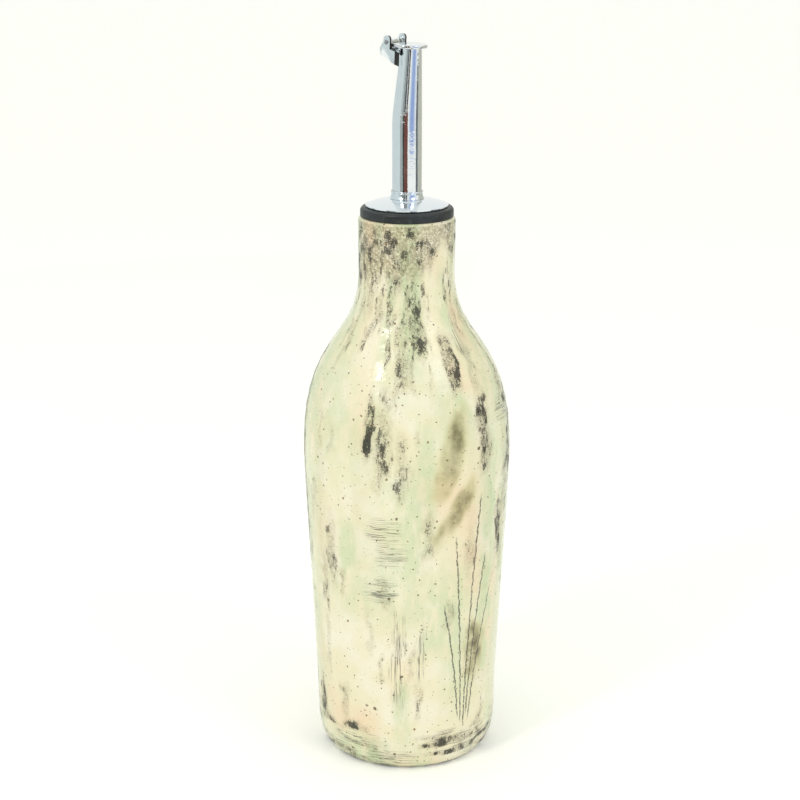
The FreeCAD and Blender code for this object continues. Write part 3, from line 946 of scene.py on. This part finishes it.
def build_spout(p, material):
    """Spout with a straight stem, a soft bend and a leaning cone, hollow to the mouth."""
    columns = 160
    angles = np.linspace(0, 2 * math.pi, columns, endpoint=False)
    share = p.bend_length / (p.mouth_height - p.bend_height) * 0.5
    stations = [(z, 0.0, 0.0) for z in np.linspace(p.stem_bottom, p.bend_height - 0.0005, 12)]
    for k in np.linspace(0.0, 1.0, 7):
        stations.append((p.bend_height + k * p.bend_length, share * k, 0.0))
    for k in np.linspace(0.05, 1.0, 18):
        stations.append((p.bend_height + p.bend_length + k * (p.mouth_height - p.bend_height - p.bend_length),
                         share + (1.0 - share) * k, k))
    rings = []
    for inset, order in ((0.0, stations), (p.spout_wall, stations[::-1])):
        for z, way, tilted in order:
            radius = p.spout_radius - (p.spout_radius - p.mouth_radius) * way - inset
            x = radius * np.cos(angles)
            slope = math.tan(p.mouth_tilt * tilted)
            rings.append(np.stack([p.mouth_reach * way + x, radius * np.sin(angles), z - x * slope], 1))
    return new_object("Spout", np.concatenate(rings), grid_faces(len(rings), columns), material, 35.0)


def softened(node, name, material, edge):
    """Copy of a CAD piece with its hard edges broken, as on plated metal."""
    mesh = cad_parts[node].data.copy()
    mesh.name = name
    work = bmesh.new()
    work.from_mesh(mesh)
    bmesh.ops.remove_doubles(work, verts=work.verts, dist=1e-7)
    bmesh.ops.dissolve_limit(work, angle_limit=math.radians(1.0), verts=work.verts, edges=work.edges)
    work.to_mesh(mesh)
    work.free()
    mesh.materials.clear()
    mesh.materials.append(material)
    mesh.polygons.foreach_set("use_smooth", [True] * len(mesh.polygons))
    obj = bpy.data.objects.new(name, mesh)
    bpy.context.scene.collection.objects.link(obj)
    bevel = obj.modifiers.new("Edges", "BEVEL")
    bevel.width, bevel.segments, bevel.limit_method = edge, 2, "ANGLE"
    bevel.angle_limit = math.radians(35.0)
    bevel.harden_normals = True
    return obj


class OILBOTTLE_OT_bung(bpy.types.Operator):
    """Moulds the rubber bung"""

    bl_idname = "oilbottle.bung"
    bl_label = "Bung"

    def execute(self, context):
        scene = context.scene
        profile = bung_profile(scene.oil_pourer, scene.oil_bottle.height)
        obj = lathe("Bung", profile, 160, made("Black Rubber", rubber_material))
        keep(obj, "stopper", "black_rubber", "stopper_bung")
        return {"FINISHED"}


class OILBOTTLE_OT_disc(bpy.types.Operator):
    """Presses the chrome disc and turns its collar"""

    bl_idname = "oilbottle.disc"
    bl_label = "Disc and Collar"

    def execute(self, context):
        scene = context.scene
        p, rim = scene.oil_pourer, scene.oil_bottle.height
        metal = chrome("Chrome Disc", 0.12, (0.86, 0.90, 0.925))
        disc = lathe("CoverDisc", disc_profile(p, rim), 192, metal)
        keep(disc, "spout", "chrome_disc", "cover_disc")
        collar = lathe("Collar", collar_profile(p, rim), 160, metal)
        keep(collar, "spout", "chrome_disc", "spout_collar")
        return {"FINISHED"}


class OILBOTTLE_OT_spout(bpy.types.Operator):
    """Forms the chrome spout and sets the finish of its air tube"""

    bl_idname = "oilbottle.spout"
    bl_label = "Spout"

    def execute(self, context):
        metal = chrome("Chrome Spout", 0.05, (0.88, 0.905, 0.92), ripple=40.0)
        obj = build_spout(context.scene.oil_pourer, metal)
        keep(obj, "spout", "chrome_spout", "spout_tube")
        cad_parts["vent_tube"].data.materials[0] = made("Milky Plastic", plastic_material)
        return {"FINISHED"}


class OILBOTTLE_OT_flap(bpy.types.Operator):
    """Finishes the flap, its counterweight, pin and bracket"""

    bl_idname = "oilbottle.flap"
    bl_label = "Flap"

    def execute(self, context):
        metal = chrome("Chrome Flap", 0.10, (0.84, 0.86, 0.87))
        # The counterweight's chrome carries painted shade on its ends that face the spout.
        cut = chrome("Chrome Yoke", 0.14, (0.86, 0.89, 0.90), True)
        for node, name, body, edge, finish in (("flap_lid", "FlapLid", "flap", 0.00012, metal),
                                               ("counterweight_yoke", "Counterweight", "flap", 0.00018, cut),
                                               ("hinge_bracket", "HingeBracket", "spout", 0.00012, metal)):
            keep(softened(node, name, finish, edge), body, "chrome_flap", node)
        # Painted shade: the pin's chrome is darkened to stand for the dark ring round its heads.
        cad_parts["hinge_pin"].data.materials[0] = chrome("Pin Painted Shade", 0.22, (0.36, 0.37, 0.38))
        return {"FINISHED"}


# Studio


def floor_plane(size, material):
    """Paper floor under the bottle."""
    w = size / 2
    obj = new_object("Floor", [(-w, -w, 0), (w, -w, 0), (w, w, 0), (-w, w, 0)], [(0, 1, 2, 3)], material)


def plain_material(name, color, roughness):
    """Plain stage material."""
    material, _, shader = new_material(name)
    shader.inputs["Base Color"].default_value = (*color, 1.0)
    shader.inputs["Roughness"].default_value = roughness
    shader.inputs["Specular IOR Level"].default_value = 0.1
    return material


def seen_ray(tree, path):
    """One for rays from the camera, off metal or through glass."""
    seen = larger(tree, path.outputs["Is Camera Ray"], path.outputs["Is Glossy Ray"])
    return larger(tree, seen, path.outputs["Is Transmission Ray"])


def paper_material(color):
    """Backdrop paper that reads white to the camera and keeps its shadow."""
    material = plain_material("Paper", color, 0.9)
    tree = material.node_tree
    shader = tree.nodes["Principled BSDF"]
    path = tree.nodes.new("ShaderNodeLightPath")
    lift = mix_color(tree, seen_ray(tree, path), (0, 0, 0), tuple(0.15 * c for c in color))
    tree.links.new(lift, shader.inputs["Emission Color"])
    shader.inputs["Emission Strength"].default_value = 1.0
    return material


def studio_card(name, color, start, stop, near, far):
    """Curved card between two edges of radius and height, seen only in reflections."""
    steps = max(2, int((stop - start) / 0.05))
    verts = []
    for k in range(steps + 1):
        turn = start + (stop - start) * k / steps
        verts += [around(turn, *near), around(turn, *far)]
    faces = [(2 * k, 2 * k + 1, 2 * k + 3, 2 * k + 2) for k in range(steps)]
    obj = new_object(name, verts, faces, plain_material(name, color, 0.8))
    obj.visible_camera = obj.visible_diffuse = obj.visible_shadow = False


def area_light(name, energy, size, location, target, color):
    """Soft box that points at a target."""
    lamp = bpy.data.lights.new(name, "AREA")
    lamp.shape = "RECTANGLE"
    lamp.size, lamp.size_y = size
    lamp.energy = energy
    lamp.color = color
    obj = bpy.data.objects.new(name, lamp)
    obj.location = location
    obj.rotation_euler = (Vector(target) - Vector(location)).to_track_quat("-Z", "Y").to_euler()
    bpy.context.scene.collection.objects.link(obj)
    return obj


def around(turn, distance, height):
    """Place at a turn from the camera's side, positive to the camera's right."""
    studio = bpy.context.scene.oil_studio
    a = studio.azimuth + turn
    return Vector((math.sin(a) * distance, -math.cos(a) * distance, height))


def build_world(s):
    """White room: paper colour to the eye and in the metal, softer as a light."""
    world = bpy.data.worlds.new("Studio Room")
    bpy.context.scene.world = world
    world.use_nodes = True
    tree = world.node_tree
    back = tree.nodes["Background"]
    path = tree.nodes.new("ShaderNodeLightPath")
    back.inputs["Color"].default_value = (*s.paper, 1.0)
    strength = math_node(tree, "MULTIPLY_ADD", seen_ray(tree, path), 1.0 - s.world_light, s.world_light)
    tree.links.new(strength, back.inputs["Strength"])


def wall_cards():
    """Cards that stand round the set: colour, turns in degrees, bottom and top."""
    for name, color, start, stop, low, high in (
            ("CardBlack", (0.008, 0.008, 0.010), -10, 1, 0.2, 1.3),
            ("CardCoal", (0.07, 0.075, 0.08), -25, -14, 0.2, 1.3),
            ("CardGrey", (0.34, 0.37, 0.38), -40, -25, 0.2, 1.3),
            ("CardMist", (0.58, 0.63, 0.65), -54, -40, 0.2, 1.3),
            ("CardSky", (0.62, 0.72, 0.93), 14, 24, 0.1, 1.3),
            ("CardBlue", (0.36, 0.46, 0.80), 24, 50, 0.1, 1.3),
            ("CardHaze", (0.62, 0.72, 0.93), 50, 62, 0.1, 1.3),
            ("CardStone", (0.60, 0.59, 0.52), 91, 150, 0.0, 1.0),
            ("CardMoss", (0.42, 0.46, 0.46), -54, -33, 0.0, 0.19),
            ("CardIron", (0.05, 0.055, 0.055), -33, -22, 0.0, 0.19),
            ("CardBrown", (0.20, 0.075, 0.06), -22, 5, 0.0, 0.19),
            ("CardSlate", (0.16, 0.18, 0.19), 70, 90, 0.0, 0.19),
            ("CardPale", (0.74, 0.81, 0.84), -150, -54, 0.0, 1.0)):
        studio_card(name, color, math.radians(start), math.radians(stop), (1.05, low), (1.05, high))


def floor_cards():
    """Pairs of dark and grey cards that lie round the bottle."""
    near, far = (0.2, 0.001), (1.0, 0.001)
    for first, dark, wide in ((8, 0.12, 0.34), (70, 0.20, 0.62), (128, 0.08, 0.20), (176, 0.22, 0.55),
                              (244, 0.10, 0.30), (300, 0.17, 0.50)):
        start = math.radians(first)
        studio_card("FloorCoal", (0.03, 0.032, 0.035), start, start + dark, near, far)
        studio_card("FloorGrey", (0.33, 0.36, 0.38), start + dark, start + wide, near, far)


class OILBOTTLE_OT_studio(bpy.types.Operator):
    """Sets up the paper, cards, lamps and camera"""

    bl_idname = "oilbottle.studio"
    bl_label = "Studio"

    def execute(self, context):
        s = context.scene.oil_studio
        build_world(s)
        floor_plane(60.0, paper_material(tuple(s.paper)))
        wall_cards()
        floor_cards()
        area_light("Key", 2.6, (0.16, 0.22), around(-0.75, 1.0, 1.0), (0, 0, 0.13), (1.0, 0.985, 0.94))
        area_light("Fill", 1.6, (0.35, 0.5), around(0.85, 1.0, 0.9), (0, 0, 0.13), (1.0, 1.0, 0.98))
        camera = bpy.data.cameras.new("Camera")
        camera.lens = s.lens
        camera.sensor_width = 36.0
        obj = bpy.data.objects.new("Camera", camera)
        obj.location = around(0.0, s.distance, s.height)
        obj.rotation_euler = Euler((math.pi / 2 - s.pitch, 0, s.azimuth + s.yaw), "XYZ")
        context.scene.collection.objects.link(obj)
        context.scene.camera = obj
        context.scene.view_settings.view_transform = "Standard"
        return {"FINISHED"}


class OILBOTTLE_PT_panel(bpy.types.Panel):
    """Buttons that build the bottle and its studio"""

    bl_idname = "OILBOTTLE_PT_panel"
    bl_label = "Oil Bottle"
    bl_space_type = "VIEW_3D"
    bl_region_type = "UI"
    bl_category = "Oil Bottle"

    def draw(self, context):
        for operator in STEPS:
            self.layout.operator(operator)
        for group in (context.scene.oil_bottle, context.scene.oil_pourer, context.scene.oil_studio):
            box = self.layout.box()
            for key in group.bl_rna.properties.keys():
                if key not in ("rna_type", "name"):
                    box.prop(group, key)


STEPS = ("oilbottle.bottle", "oilbottle.bung", "oilbottle.disc", "oilbottle.spout", "oilbottle.flap",
         "oilbottle.studio")
CLASSES = (BottleSettings, PourerSettings, StudioSettings, OILBOTTLE_OT_bottle, OILBOTTLE_OT_bung,
           OILBOTTLE_OT_disc, OILBOTTLE_OT_spout, OILBOTTLE_OT_flap, OILBOTTLE_OT_studio, OILBOTTLE_PT_panel)


def register():
    """Registers the classes and their settings."""
    for item in CLASSES:
        bpy.utils.register_class(item)
    bpy.types.Scene.oil_bottle = PointerProperty(type=BottleSettings)
    bpy.types.Scene.oil_pourer = PointerProperty(type=PourerSettings)
    bpy.types.Scene.oil_studio = PointerProperty(type=StudioSettings)


def unregister():
    """Removes the settings and the classes."""
    del bpy.types.Scene.oil_studio
    del bpy.types.Scene.oil_pourer
    del bpy.types.Scene.oil_bottle
    for item in reversed(CLASSES):
        bpy.utils.unregister_class(item)


def main():
    """Registers the add-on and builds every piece."""
    register()
    bpy.ops.oilbottle.bottle()
    bpy.ops.oilbottle.bung()
    bpy.ops.oilbottle.disc()
    bpy.ops.oilbottle.spout()
    bpy.ops.oilbottle.flap()
    bpy.ops.oilbottle.studio()


if __name__ == "__main__":
    main()
